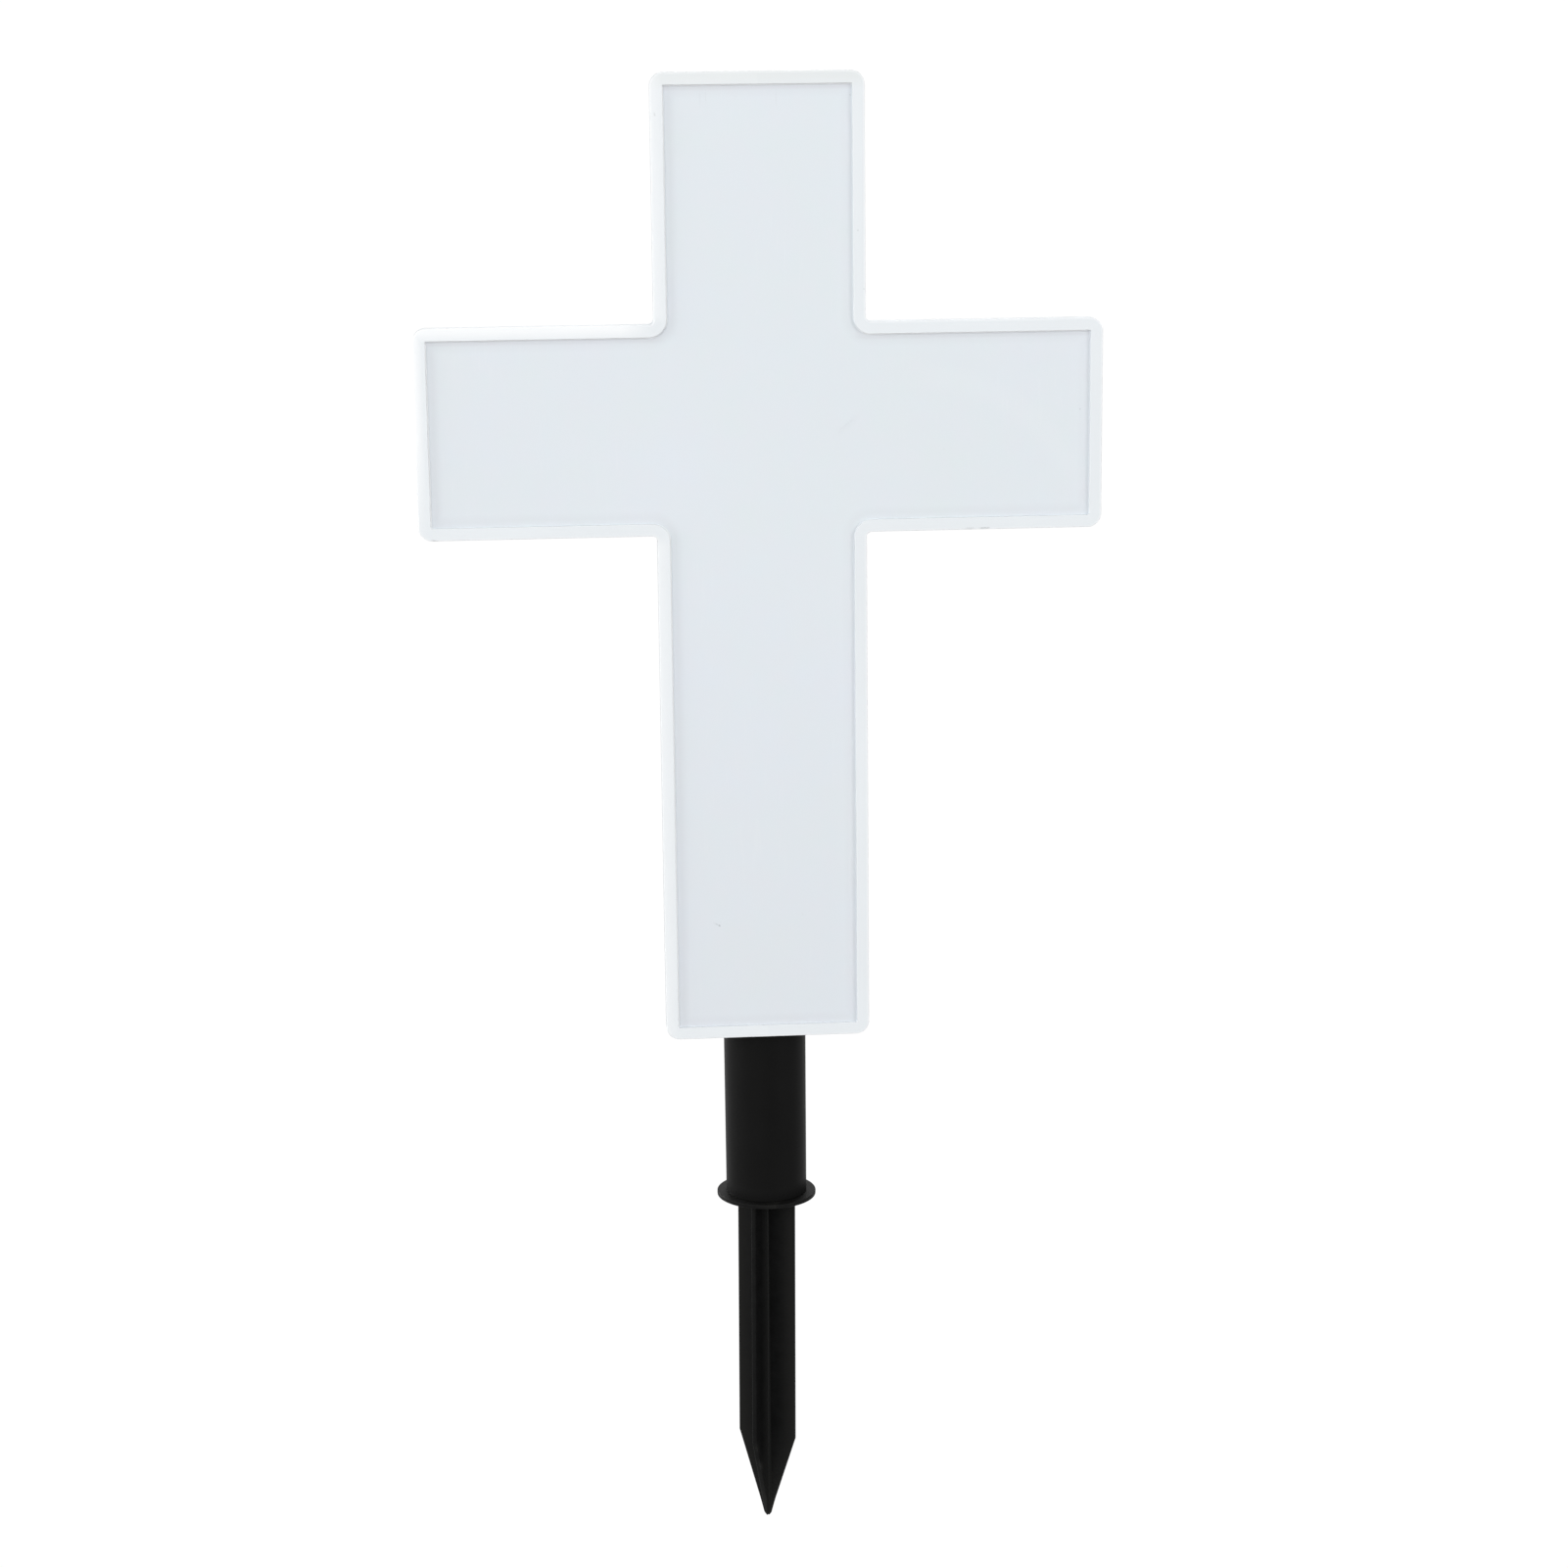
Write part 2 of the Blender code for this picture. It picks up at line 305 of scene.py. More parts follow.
def soft_profile(corners, steps=4):
    """Points along a path of (radius, height, rounding) corners, with its inner corners rounded."""
    points = [corners[0][:2]]
    for before, corner, after in zip(corners, corners[1:], corners[2:]):
        rounding = corner[2]
        if not rounding:
            points.append(corner[:2])
            continue
        pairs = ((before, corner), (corner, after))
        runs = [[b - a for a, b in zip(start[:2], end)] for start, end in pairs]
        u, v = ([part / hypot(*run) for part in run] for run in runs)
        centre = [c + rounding * (b - a) for c, a, b in zip(corner, u, v)]
        for step in range(steps + 1):
            turn = pi / 2 * step / steps
            along, back = rounding * sin(turn), rounding * cos(turn)
            points.append(tuple(c + a * along - b * back for c, a, b in zip(centre, u, v)))
    points.append(corners[-1][:2])
    return points


def turned(name, profile, steps=128):
    """A solid whose profile of radius and height is drawn point by point and spun round the upright axis."""
    piece = flat_square(name, MM, MM, (0, 0, 0))
    edit(piece)
    bpy.ops.mesh.select_mode(type="VERT")
    bpy.ops.mesh.select_all(action="SELECT")
    bpy.ops.mesh.merge(type="CENTER")
    bpy.ops.transform.translate(value=(profile[0][0], 0, profile[0][1]))
    for (radius, height), (next_radius, next_height) in zip(profile, profile[1:]):
        carry(x=next_radius - radius, z=next_height - height)
    bpy.ops.mesh.select_all(action="SELECT")
    bpy.ops.mesh.spin(steps=steps, angle=tau, center=(0, 0, 0), axis=(0, 0, 1))
    tidy_mesh(piece)
    leave()
    return piece


def cross_solid(name, inset, depth, corner, hollow, front_steps, back_steps, corner_steps=12):
    """A closed cross that starts as one flat face at a depth, inset from the rim's outline, with its corners
    rounded, and is carried on from there towards the front and towards the back."""
    sizes = bpy.context.scene.grave_light_cross
    half = sizes.arm_width / 2 - inset
    reach = CROSS_HIGH.x - inset
    low, high = FOOT + inset, TOP - inset
    bar = FOOT + sizes.bar_height
    piece = flat_square(name, 2 * half, high - low, (0, depth, (low + high) / 2), (-pi / 2, 0, 0))
    edit(piece)
    for level in (bar - half, bar + half):
        bpy.ops.mesh.select_all(action="SELECT")
        cut_at(level)
    for side in (-1, 1):
        pick(piece, "EDGE", lambda middle, edge: abs(middle.x - side * half) + abs(middle.z - bar) < NEAR)
        carry(x=side * (reach - half))
    bpy.ops.mesh.select_all(action="SELECT")
    bpy.ops.mesh.dissolve_limited(angle_limit=radians(1))

    def where_arms_meet(middle, vertex):
        return abs(abs(middle.x) - half) < NEAR and abs(abs(middle.z - bar) - half) < NEAR

    def at_an_end(middle, vertex):
        return min(abs(middle.z - low), abs(middle.z - high), abs(abs(middle.x) - reach)) < NEAR

    for place, radius in ((where_arms_meet, hollow), (at_an_end, corner)):
        pick(piece, "VERT", place)
        bevel("VERTICES", radius, corner_steps)

    pick(piece, "FACE", lambda middle, face: True)
    follow(back_steps)
    fill_opening(piece)
    pick(piece, "FACE", lambda middle, face: face.normal.y < -0.99 and abs(middle.y - depth) < NEAR)
    follow(front_steps)
    tidy_mesh(piece)
    leave()
    return piece


def round_off(piece, place, width, steps=3):
    """Rounds the edges of a piece that lie where the test says."""
    edit(piece)
    pick(piece, "EDGE", place)
    bevel("EDGES", width, steps)
    tidy_mesh(piece)
    leave()


def settle(piece, lean, aside):
    """Leans a piece to the left and moves it to the right, in its mesh."""
    choose(piece)
    piece.rotation_euler.y = lean
    piece.location.x = aside
    bpy.ops.object.transform_apply(location=True, rotation=True, scale=False)


def finish_piece(piece, finishes, node, smooth=35):
    """Shades a piece, gives it its finishes, and lets it stand for its CAD node."""
    mesh = bmesh.new()
    mesh.from_mesh(piece.data)
    open_edges = sum(not edge.is_manifold for edge in mesh.edges)
    volume = mesh.calc_volume(signed=True)
    mesh.free()
    if open_edges or volume <= 0:
        raise RuntimeError(f"{piece.name} isn't closed: {open_edges} open edges, volume {volume}")
    choose(piece)
    bpy.ops.object.shade_smooth_by_angle(angle=radians(smooth))
    modifier = piece.modifiers.new("even_shading", "WEIGHTED_NORMAL")
    modifier.keep_sharp = True
    bpy.ops.object.modifier_apply(modifier=modifier.name)
    for index, finish in enumerate(finishes):
        if index < len(piece.data.materials):
            piece.data.materials[index] = finish
        else:
            piece.data.materials.append(finish)
    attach(piece, "root")
    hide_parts(node)


# Nodes and the effects that several finishes share

NUMBER, COLOUR, VECTOR = "NodeSocketFloat", "NodeSocketColor", "NodeSocketVector"
ORIGIN, ONES, WHITE = (0.0, 0.0, 0.0), (1.0, 1.0, 1.0), (1.0, 1.0, 1.0, 1.0)
EFFECTS = {}


class Nodes:
    """The nodes of one tree. What goes into them is a plain value or what another node puts out."""

    def __init__(self, tree):
        self.tree = tree

    def add(self, kind, inputs=(), **settings):
        """What a new node puts out, with its settings and its named or numbered inputs."""
        node = self.tree.nodes.new("ShaderNode" + kind)
        for name, value in settings.items():
            setattr(node, name, value)
        for name, value in dict(inputs).items():
            self.join(value, node.inputs[name])
        return node.outputs

    def join(self, value, socket):
        """Links a socket to what another node puts out, or gives it a plain value."""
        if isinstance(value, bpy.types.NodeSocket):
            self.tree.links.new(value, socket)
        elif socket.type == "RGBA":
            socket.default_value = (*value[:3], 1.0)
        else:
            socket.default_value = value

    def maths(self, operation, *values):
        """One operation on one value, or on some values from the first to the last."""
        result = values[0]
        for value in values[1:] or (0.0,):
            result = self.add("Math", {0: result, 1: value}, operation=operation)[0]
        return result

    def plus(self, *values):
        return self.maths("ADD", *values)

    def minus(self, first, second):
        return self.maths("SUBTRACT", first, second)

    def times(self, *values):
        return self.maths("MULTIPLY", *values)

    def most(self, *values):
        return self.maths("MAXIMUM", *values)

    def least(self, *values):
        return self.maths("MINIMUM", *values)

    def span(self, value, low, high, to_low=0.0, to_high=1.0):
        """A value carried from one range to another, and held at its ends."""
        inputs = {"Value": value, "From Min": low, "From Max": high, "To Min": to_low, "To Max": to_high}
        return self.add("MapRange", inputs)["Result"]

    def vectors(self, operation, first, second=ORIGIN):
        outputs = self.add("VectorMath", {0: first, 1: second}, operation=operation)
        return outputs["Value" if operation == "LENGTH" else "Vector"]

    def aim(self, place, angle, axis):
        return self.add("VectorRotate", {"Vector": place, "Angle": angle}, rotation_type=axis)["Vector"]

    def parts(self, vector):
        """A vector's X, Y and Z."""
        return self.add("SeparateXYZ", {"Vector": vector})

    def noise(self, place, size, detail, roughness=0.5):
        """Soft patches of about one size."""
        scale = self.maths("DIVIDE", 1.0, size)
        inputs = {"Vector": place, "Scale": scale, "Detail": detail, "Roughness": roughness}
        return self.add("TexNoise", inputs)["Fac"]

    def blend(self, factor, first, second):
        """A mix of two colours."""
        return self.add("Mix", {0: factor, 6: first, 7: second}, data_type="RGBA")[2]


class Group(Nodes):
    """A node group whose inputs are given with their first values."""

    def __init__(self, name, **inputs):
        super().__init__(bpy.data.node_groups.new(name, "ShaderNodeTree"))
        for socket, value in inputs.items():
            kind = NUMBER if isinstance(value, float) else VECTOR if len(value) == 3 else COLOUR
            made = self.tree.interface.new_socket(socket, in_out="INPUT", socket_type=kind)
            made.default_value = value
        self.given = self.tree.nodes.new("NodeGroupInput").outputs[:len(inputs)]

    def put_out(self, name, kind, value):
        self.tree.interface.new_socket(name, in_out="OUTPUT", socket_type=kind)
        self.join(value, self.tree.nodes.new("NodeGroupOutput").inputs[0])
        return self.tree


def moulded_skin():
    """Soft unevenness and fine grain of a moulded surface, as a height."""
    group = Group("Moulded skin", Place=ORIGIN, Wave=8 * MM, Grain=0.5 * MM, Share=0.5)
    place, wave, grain, share = group.given
    fine = group.times(group.noise(place, grain, 3.0), share)
    return group.put_out("Height", NUMBER, group.plus(group.noise(place, wave, 2.0), fine))


def tone_drift():
    """A colour that drifts a little over the surface, as pigment and old light do."""
    group = Group("Tone drift", Place=ORIGIN, Colour=WHITE, Drifted=WHITE, Size=50 * MM)
    place, first, drifted, size = group.given
    share = group.span(group.noise(place, size, 3.0, 0.55), 0.3, 0.7)
    return group.put_out("Colour", COLOUR, group.blend(share, first, drifted))


def dust_specks():
    """A mask of scattered specks, few of them dark."""
    group = Group("Dust specks", Place=ORIGIN, Spacing=12 * MM, Size=0.03, Share=0.3)
    place, spacing, size, share = group.given
    cells = group.add("TexVoronoi", {"Vector": place, "Scale": group.maths("DIVIDE", 1.0, spacing)})
    shade = group.add("SeparateColor", {"Color": cells["Color"]})
    dot = group.maths("LESS_THAN", cells["Distance"], size)
    chosen = group.maths("LESS_THAN", shade["Red"], share)
    return group.put_out("Mask", NUMBER, group.times(dot, chosen, shade["Green"]))


def hairline_scuffs():
    """A mask of fine scuffs that run mostly one way."""
    group = Group("Hairline scuffs", Place=ORIGIN, Stretch=ONES, Amount=0.5)
    place, stretch, amount = group.given
    lines = group.noise(group.vectors("MULTIPLY", place, stretch), 1.0, 4.0, 0.7)
    thin = group.span(lines, 0.56, 0.66)
    where = group.span(group.noise(place, 25 * MM, 2.0), 0.45, 0.65)
    return group.put_out("Mask", NUMBER, group.times(thin, where, amount))


def rubbed_mark():
    """A mask of one smudge with broken edges, at a place and of a length and width."""
    group = Group("Rubbed mark", Place=ORIGIN, Centre=ORIGIN, Reach=ONES, Turn=0.0)
    place, centre, reach, turn = group.given
    aimed = group.aim(group.vectors("SUBTRACT", place, centre), turn, "Y_AXIS")
    away = group.vectors("LENGTH", group.vectors("DIVIDE", aimed, reach))
    breaks = group.times(group.noise(place, 0.4 * MM, 3.0), 1.4)
    return group.put_out("Mask", NUMBER, group.span(group.plus(away, breaks, 0.5), 1.9, 1.3))


# The finishes

class Finish(Nodes):
    """A material, with the object coordinates that its patterns read."""

    def __init__(self, name):
        self.material = bpy.data.materials.new(name)
        self.material.use_nodes = True
        super().__init__(self.material.node_tree)
        self.shader = self.tree.nodes["Principled BSDF"]
        self.place = self.add("TexCoord")["Object"]

    def give(self, name, value):
        self.join(value, self.shader.inputs[name])

    def done(self, base, roughness):
        """The material, once it has its base colour and its roughness."""
        self.give("Base Color", base)
        self.give("Roughness", roughness)
        return self.material

    def effect(self, builder, **inputs):
        """What a shared effect puts out. Its node group is made only once."""
        name = builder.__name__
        if name not in EFFECTS:
            EFFECTS[name] = builder()
        return self.add("Group", {"Place": self.place, **inputs}, node_tree=EFFECTS[name])[0]

    def drift(self, first, drifted, size):
        return self.effect(tone_drift, Colour=first, Drifted=drifted, Size=size)

    def dust(self, base, spacing, size, share, strength, tone):
        """The base colour with specks on it."""
        specks = self.effect(dust_specks, Spacing=spacing, Size=size, Share=share)
        return self.blend(self.times(specks, strength), base, tone)

    def scuffs(self, stretch, amount=1.0):
        return self.effect(hairline_scuffs, Stretch=stretch, Amount=amount)

    def scuffed(self, stretch, smooth, rough):
        """A roughness that scuffs raise."""
        return self.span(self.scuffs(stretch), 0, 1, smooth, rough)

    def skin(self, wave, grain, share, depth):
        """Raises the surface by the unevenness of a moulded skin."""
        height = self.effect(moulded_skin, Wave=wave, Grain=grain, Share=share)
        bump = self.add("Bump", {"Height": height, "Strength": 1.0, "Distance": depth})
        self.give("Normal", bump["Normal"])
        return height

    def marks(self, base, marks, depth, thickness, tone):
        """The base colour with the marks of a list on it, all at one depth and of one thickness."""
        for (x, z), (width, height), turn, strength in marks:
            centre = (x * MM, depth, z * MM)
            reach = (width * MM, thickness, height * MM)
            mark = self.effect(rubbed_mark, Centre=centre, Reach=reach, Turn=turn)
            base = self.blend(self.times(mark, strength), base, tone)
        return base

    def coat_with_resin(self):
        """The clear resin over the solar panel, a little uneven."""
        self.give("Coat Weight", 1.0)
        self.give("Coat Roughness", 0.06)


def shaded(parts, factor):
    """A colour made lighter or darker."""
    return [part * factor for part in parts]


def cross_place(finish):
    """The parts of a place, then how far it lies from the upright's middle and from the crossbar's."""
    bar = FOOT + bpy.context.scene.grave_light_cross.bar_height
    x, y, z = finish.parts(finish.place)
    return x, y, z, finish.maths("ABSOLUTE", x), finish.maths("ABSOLUTE", finish.minus(z, bar))


def rounded(finish, first, second):
    """The length of two sides together, where neither counts below 0."""
    corner = finish.add("CombineXYZ", {"X": finish.most(first), "Y": finish.most(second)})["Vector"]
    return finish.vectors("LENGTH", corner)


def outline_distance(finish, spot, inset, corner=0.0):
    """How far a spot lies inside the cross's outline, drawn in by an inset and with rounded outer corners."""
    sizes = bpy.context.scene.grave_light_cross
    x, y, z, across, along = spot
    hollow = sizes.rim_hollow + inset
    far = sizes.arm_width / 2 - inset + hollow
    inside = rounded(finish, finish.minus(far, across), finish.minus(far, along))
    inside = finish.minus(inside, hollow)
    ends = finish.least(
        finish.minus(z, FOOT + inset),
        finish.minus(TOP - inset, z),
        finish.minus(CROSS_HIGH.x - inset, across))
    if not corner:
        return finish.least(inside, ends)
    rest = rounded(finish, finish.minus(corner, inside), finish.minus(corner, ends))
    return finish.minus(corner, rest)


def painted_rim_light(finish, base):
    """The base colour, darker and creamier at the top of the rim, with painted highlights that make the rim
    paler at its edges and its inner lip, most of all on the left.
    """
    sizes = bpy.context.scene.grave_light_cross
    half = sizes.arm_width / 2
    bar = FOOT + sizes.bar_height
    top_of_bar = bar + half
    spot = cross_place(finish)
    x, y, z, across, along = spot
    away = outline_distance(finish, spot, 0, sizes.rim_corner)
    span, times = finish.span, finish.times
    front = span(y, FRONT + 1.6 * MM, FRONT + 0.6 * MM)
    cream = times(front, span(z, TOP - 5.5 * MM, TOP - 2 * MM))
    base = finish.blend(cream, base, (0.753, 0.782, 0.788))
    left_arm = times(
        span(x, -half, -half - 10 * MM),
        span(z, top_of_bar - 4.2 * MM, top_of_bar - 3.8 * MM),
        span(z, top_of_bar - 4 * MM, top_of_bar - 1 * MM, 0.2, 1.0))
    left_end = times(
        span(x, CROSS_LOW.x + 3 * MM, CROSS_LOW.x + 0.8 * MM),
        span(z, bar - half + 4 * MM, bar, 0.2, 1.0))
    left_upright = times(
        span(x, -half, -half + 3.6 * MM, 0.6, 0.1),
        span(along, half, half + 3 * MM),
        finish.maths("LESS_THAN", x, 0))
    upward = finish.parts(finish.add("NewGeometry")["Normal"])["Z"]
    edge = times(span(away, 0.1 * MM, 0.7 * MM, 0.7, 0), span(upward, 0.1, 0.4, 1, 0))
    lip = span(away, 3.4 * MM, sizes.rim_width, 0, 0.2)
    # painted highlights: the left arm, the left end, the left of the upright, the outer edges and the inner
    # lip are lightened as if lit
    pale = times(finish.most(left_arm, left_end, left_upright, edge, lip), front)
    return finish.blend(pale, base, (0.90, 0.915, 0.925))


def white_plastic():
    white = bpy.context.scene.grave_light_finishes.white
    finish = Finish("White plastic")
    base = painted_rim_light(finish, finish.drift(white, shaded(white, 0.975), 35 * MM))
    base = finish.dust(base, 14 * MM, 0.022, 0.25, 0.4, (0.32, 0.30, 0.27))
    base = finish.marks(base, WHITE_MARKS, FRONT + 0.2 * MM, 1.4 * MM, (0.10, 0.11, 0.12))
    finish.skin(9 * MM, 0.35 * MM, 0.03, 0.02 * MM)
    return finish.done(base, finish.scuffed((900, 900, 120), 0.36, 0.5))


def bands(finish, edges, full, none):
    """The strongest of the bands along some edges. Each edge gives a distance and how much it counts."""
    return finish.most(*(finish.times(finish.span(away, full, none, 1, 0), share) for away, share in edges))


def panel_painted_shading(finish):
    """Two masks: the panel's painted shade along its border, darkest as a painted shadow under the rim's
    upper edges, and darker towards the bottom and the left, and the thin painted highlight along its upper
    and left edges."""
    sizes = bpy.context.scene.grave_light_cross
    half = sizes.arm_width / 2 - sizes.rim_width
    reach = CROSS_HIGH.x - sizes.rim_width
    top = TOP - sizes.rim_width
    top_of_bar = FOOT + sizes.bar_height + half
    spot = cross_place(finish)
    x, y, z, across, along = spot
    away = outline_distance(finish, spot, sizes.rim_width)
    span, times = finish.span, finish.times
    on_arm = span(across, half, half + 4 * MM)
    on_upright = span(along, half, half + 4 * MM)
    upper = ((finish.minus(top, z), 1.0), (finish.minus(top_of_bar, z), on_arm))
    left = ((finish.plus(x, reach), 1.0), (finish.plus(x, half), on_upright))
    # painted shadow under the rim's upper edges, and painted shade in a band along the whole border
    shadow = times(bands(finish, upper, 1.1 * MM, 2 * MM), 0.24)
    border = times(finish.plus(span(away, 2 * MM, 4 * MM, 0.1, 0), shadow), span(away, 0.1 * MM, 0.4 * MM))
    low = span(z, FOOT, FOOT + 150 * MM, 0.09, 0)
    far_left = span(x, -reach, -half, 0.045, 0)
    # painted highlight: a thin light line beside the rim's upper and left edges
    line = times(bands(finish, upper + left, 0.3 * MM, 0.75 * MM), span(away, 0.3 * MM, 0.5 * MM, 1, 0))
    return finish.plus(border, low, far_left), line


def painted_reflection_arc(finish):
    """A mask of a painted reflection: the faint light arc that crosses the right arm of the panel."""
    centre, radius = (48 * MM, 0, 213 * MM), 53 * MM
    moved = finish.vectors("SUBTRACT", finish.place, centre)
    away = finish.vectors("LENGTH", finish.vectors("MULTIPLY", moved, (1, 0, 1)))
    beside = finish.maths("ABSOLUTE", finish.minus(away, radius))
    x, y, z = finish.parts(finish.place)
    right, high = finish.span(x, 42 * MM, 54 * MM), finish.span(z, 228 * MM, 240 * MM)
    return finish.times(finish.span(beside, 1.5 * MM, 5 * MM, 1, 0), right, high)


def opal_plastic():
    """Milky panel with patches of bluer and greener white, a faint painted reflection arc, painted shade
    along its border and a thin painted highlight beside the rim.
    """
    red, green, blue = bpy.context.scene.grave_light_finishes.opal
    finish = Finish("Opal plastic")
    greener, bluer = (red * 0.986, green * 1.002, blue * 0.99), (red * 0.99, green * 0.995, blue * 1.02)
    drift = finish.drift(greener, bluer, 30 * MM)
    patches = finish.drift(drift, (red * 1.012, green * 0.985, blue), 7 * MM)
    base = finish.blend(0.5, drift, patches)
    # lighter scuffs, and the faint arc as a painted reflection
    light = finish.plus(finish.scuffs((900, 900, 45), 0.08), finish.times(painted_reflection_arc(finish), 0.06))
    base = finish.blend(light, base, (0.86, 0.88, 0.89))
    base = finish.dust(base, 11 * MM, 0.02, 0.2, 0.25, (0.35, 0.36, 0.38))
    base = finish.marks(base, PANEL_MARKS, PANEL_LOW.y, 1 * MM, (0.16, 0.17, 0.19))
    border, line = panel_painted_shading(finish)
    # painted shade and painted shadow along the panel's border, darker towards the bottom and the left
    base = finish.blend(border, base, (0.52, 0.50, 0.53))
    # painted highlight beside the rim's upper and left edges
    base = finish.blend(line, base, (0.98, 0.99, 1.0))
    finish.skin(14 * MM, 0.3 * MM, 0.03, 0.05 * MM)
    return finish.done(base, finish.scuffed((140, 140, 700), 0.3, 0.42))


def black_tube():
    black = bpy.context.scene.grave_light_finishes.tube
    finish = Finish("Black tube")
    base = finish.drift(black, shaded(black, 1.25), 12 * MM)
    base = finish.dust(base, 3.5 * MM, 0.03, 0.3, 0.25, (0.12, 0.12, 0.12))
    height = finish.parts(finish.place)["Z"]
    matt = finish.span(height, SEAT + 5 * MM, SEAT + 1 * MM, 0, 0.4)
    finish.skin(5 * MM, 0.25 * MM, 0.08, 0.03 * MM)
    finish.give("Specular IOR Level", 0.1)
    return finish.done(base, finish.plus(finish.scuffed((900, 900, 60), 0.4, 0.52), matt))


def black_stake():
    """Black plastic, with painted light that makes the fins paler towards their outer edges, a painted glow
    in the fins' roots, and paler, grainy wear at the point.
    """
    black = bpy.context.scene.grave_light_finishes.stake
    turn = bpy.context.scene.grave_light_stake.turn
    finish = Finish("Black stake")
    span, times = finish.span, finish.times
    x, y, height = finish.parts(finish.aim(finish.place, -turn, "Z_AXIS"))
    reach, other_reach = finish.maths("ABSOLUTE", x), finish.maths("ABSOLUTE", y)
    base = finish.drift(shaded(black, 0.85), shaded(black, 1.35), 4 * MM)
    # painted light: the fins grow paler towards their outer edges, as if less shaded by the front fin there
    outer = finish.maths("POWER", span(reach, 3.5 * MM, 9.5 * MM), 1.5)
    painted_outer_light = times(outer, span(reach, 9.6 * MM, 9.9 * MM, 1.0, 0.2))
    base = finish.blend(painted_outer_light, base, (0.0110, 0.0108, 0.0100))
    # painted light: the light bounced between the fins, painted into their roots
    root = times(span(reach, 1.0 * MM, 1.3 * MM, 1, 0), span(other_reach, 0.8 * MM, 5.5 * MM, 0.8, 0))
    base = finish.blend(root, base, (0.0185, 0.0185, 0.0180))
    low = span(height, STAKE_LOW.z + 30 * MM, STAKE_LOW.z + 2 * MM)
    grain = finish.noise(finish.place, MM / 1.5, 2.0)
    base = finish.blend(times(low, span(grain, 0.35, 0.65, 0.35, 1.0)), base, (0.0150, 0.0150, 0.0135))
    base = finish.marks(base, STAKE_MARKS, -4 * MM, 12 * MM, (0.035, 0.035, 0.032))
    base = finish.dust(base, 3 * MM, 0.035, 0.3, 0.3, (0.14, 0.14, 0.13))
    matt = span(height, SEAT - 0.6 * MM, SEAT - 0.4 * MM, 0, 0.56)
    finish.skin(6 * MM, 0.4 * MM, 0.1, 0.08 * MM)
    finish.give("Specular IOR Level", 0.1)
    return finish.done(base, finish.most(finish.scuffed((700, 700, 90), 0.34, 0.5), matt))


def solar_silicon():
    """Blue-black silicon with thin silver fingers, under clear resin."""
    cell = bpy.context.scene.grave_light_finishes.cell
    finish = Finish("Solar cells")
    flakes = finish.add("TexVoronoi", {"Vector": finish.place, "Scale": 420.0})["Color"]
    tone = finish.add("SeparateColor", {"Color": flakes})["Red"]
    silicon = finish.blend(tone, shaded(cell, 0.8), shaded(cell, 1.8))
    across = finish.parts(finish.place)["X"]
    wave = finish.maths("FRACT", finish.maths("DIVIDE", across, 1.5 * MM))
    finger = finish.times(finish.maths("LESS_THAN", wave, 0.09), 0.5)
    finish.coat_with_resin()
    finish.skin(7 * MM, 0.6 * MM, 0.04, 0.05 * MM)
    return finish.done(finish.blend(finger, silicon, (0.30, 0.32, 0.35)), 0.35)


def solar_board():
    """The dark board that shows round and between the cells, under the same resin."""
    finish = Finish("Solar board")
    finish.coat_with_resin()
    finish.skin(7 * MM, 0.6 * MM, 0.04, 0.05 * MM)
    return finish.done(finish.drift((0.010, 0.011, 0.013), (0.016, 0.017, 0.019), 6 * MM), 0.4)


def solder_silver():
    finish = Finish("Solder silver")
    finish.give("Metallic", 0.9)
    finish.coat_with_resin()
    grain = finish.skin(1 * MM, 0.2 * MM, 0.3, 0.02 * MM)
    tone = finish.drift((0.52, 0.54, 0.56), (0.38, 0.40, 0.42), 2 * MM)
    return finish.done(tone, finish.span(grain, 0.3, 1.0, 0.3, 0.5))


# Marks that the photograph shows: place and reach, both across and up in mm, turn in radians, strength
WHITE_MARKS = (
    ((68.6, 219.2), (3.2, 0.4), 0.0, 0.5),
    ((64.0, 219.2), (3.4, 0.35), 0.0, 0.3),
    ((-99.9, 218.9), (2.4, 0.45), -0.25, 0.45),
    ((-30.8, 345.6), (0.5, 1.0), 0.1, 0.25),
    ((29.9, 310.6), (0.4, 0.5), 0.0, 0.25),
    ((31.6, 293.0), (0.4, 0.5), 0.0, 0.25),
)
PANEL_MARKS = (
    ((-15.8, 95.1), (1.7, 0.35), -0.5, 0.3),
    ((-14.9, 94.6), (0.8, 0.45), -0.5, 0.45),
    ((26.2, 251.8), (7.0, 0.7), 0.7, 0.03),
    ((26.6, 251.6), (7.5, 2.0), 0.7, 0.03),
    ((27.9, 350.6), (0.4, 0.4), 0.0, 0.3),
    ((98.3, 255.2), (0.4, 0.4), 0.0, 0.3),
    ((-17.2, 350.0), (0.35, 4.5), 0.0, 0.06),
    ((-15.4, 350.6), (0.3, 4.0), 0.0, 0.06),
    ((5.6, 350.0), (0.35, 4.5), 0.0, 0.06),
)
STAKE_MARKS = (
    ((-4.6, -86.0), (1.3, 3.2), 0.15, 0.35),
    ((-3.2, -93.5), (1.2, 4.0), 0.3, 0.4),
    ((0.0, -113.0), (1.2, 1.4), 0.0, 0.8),
)


# The operators, one for each piece

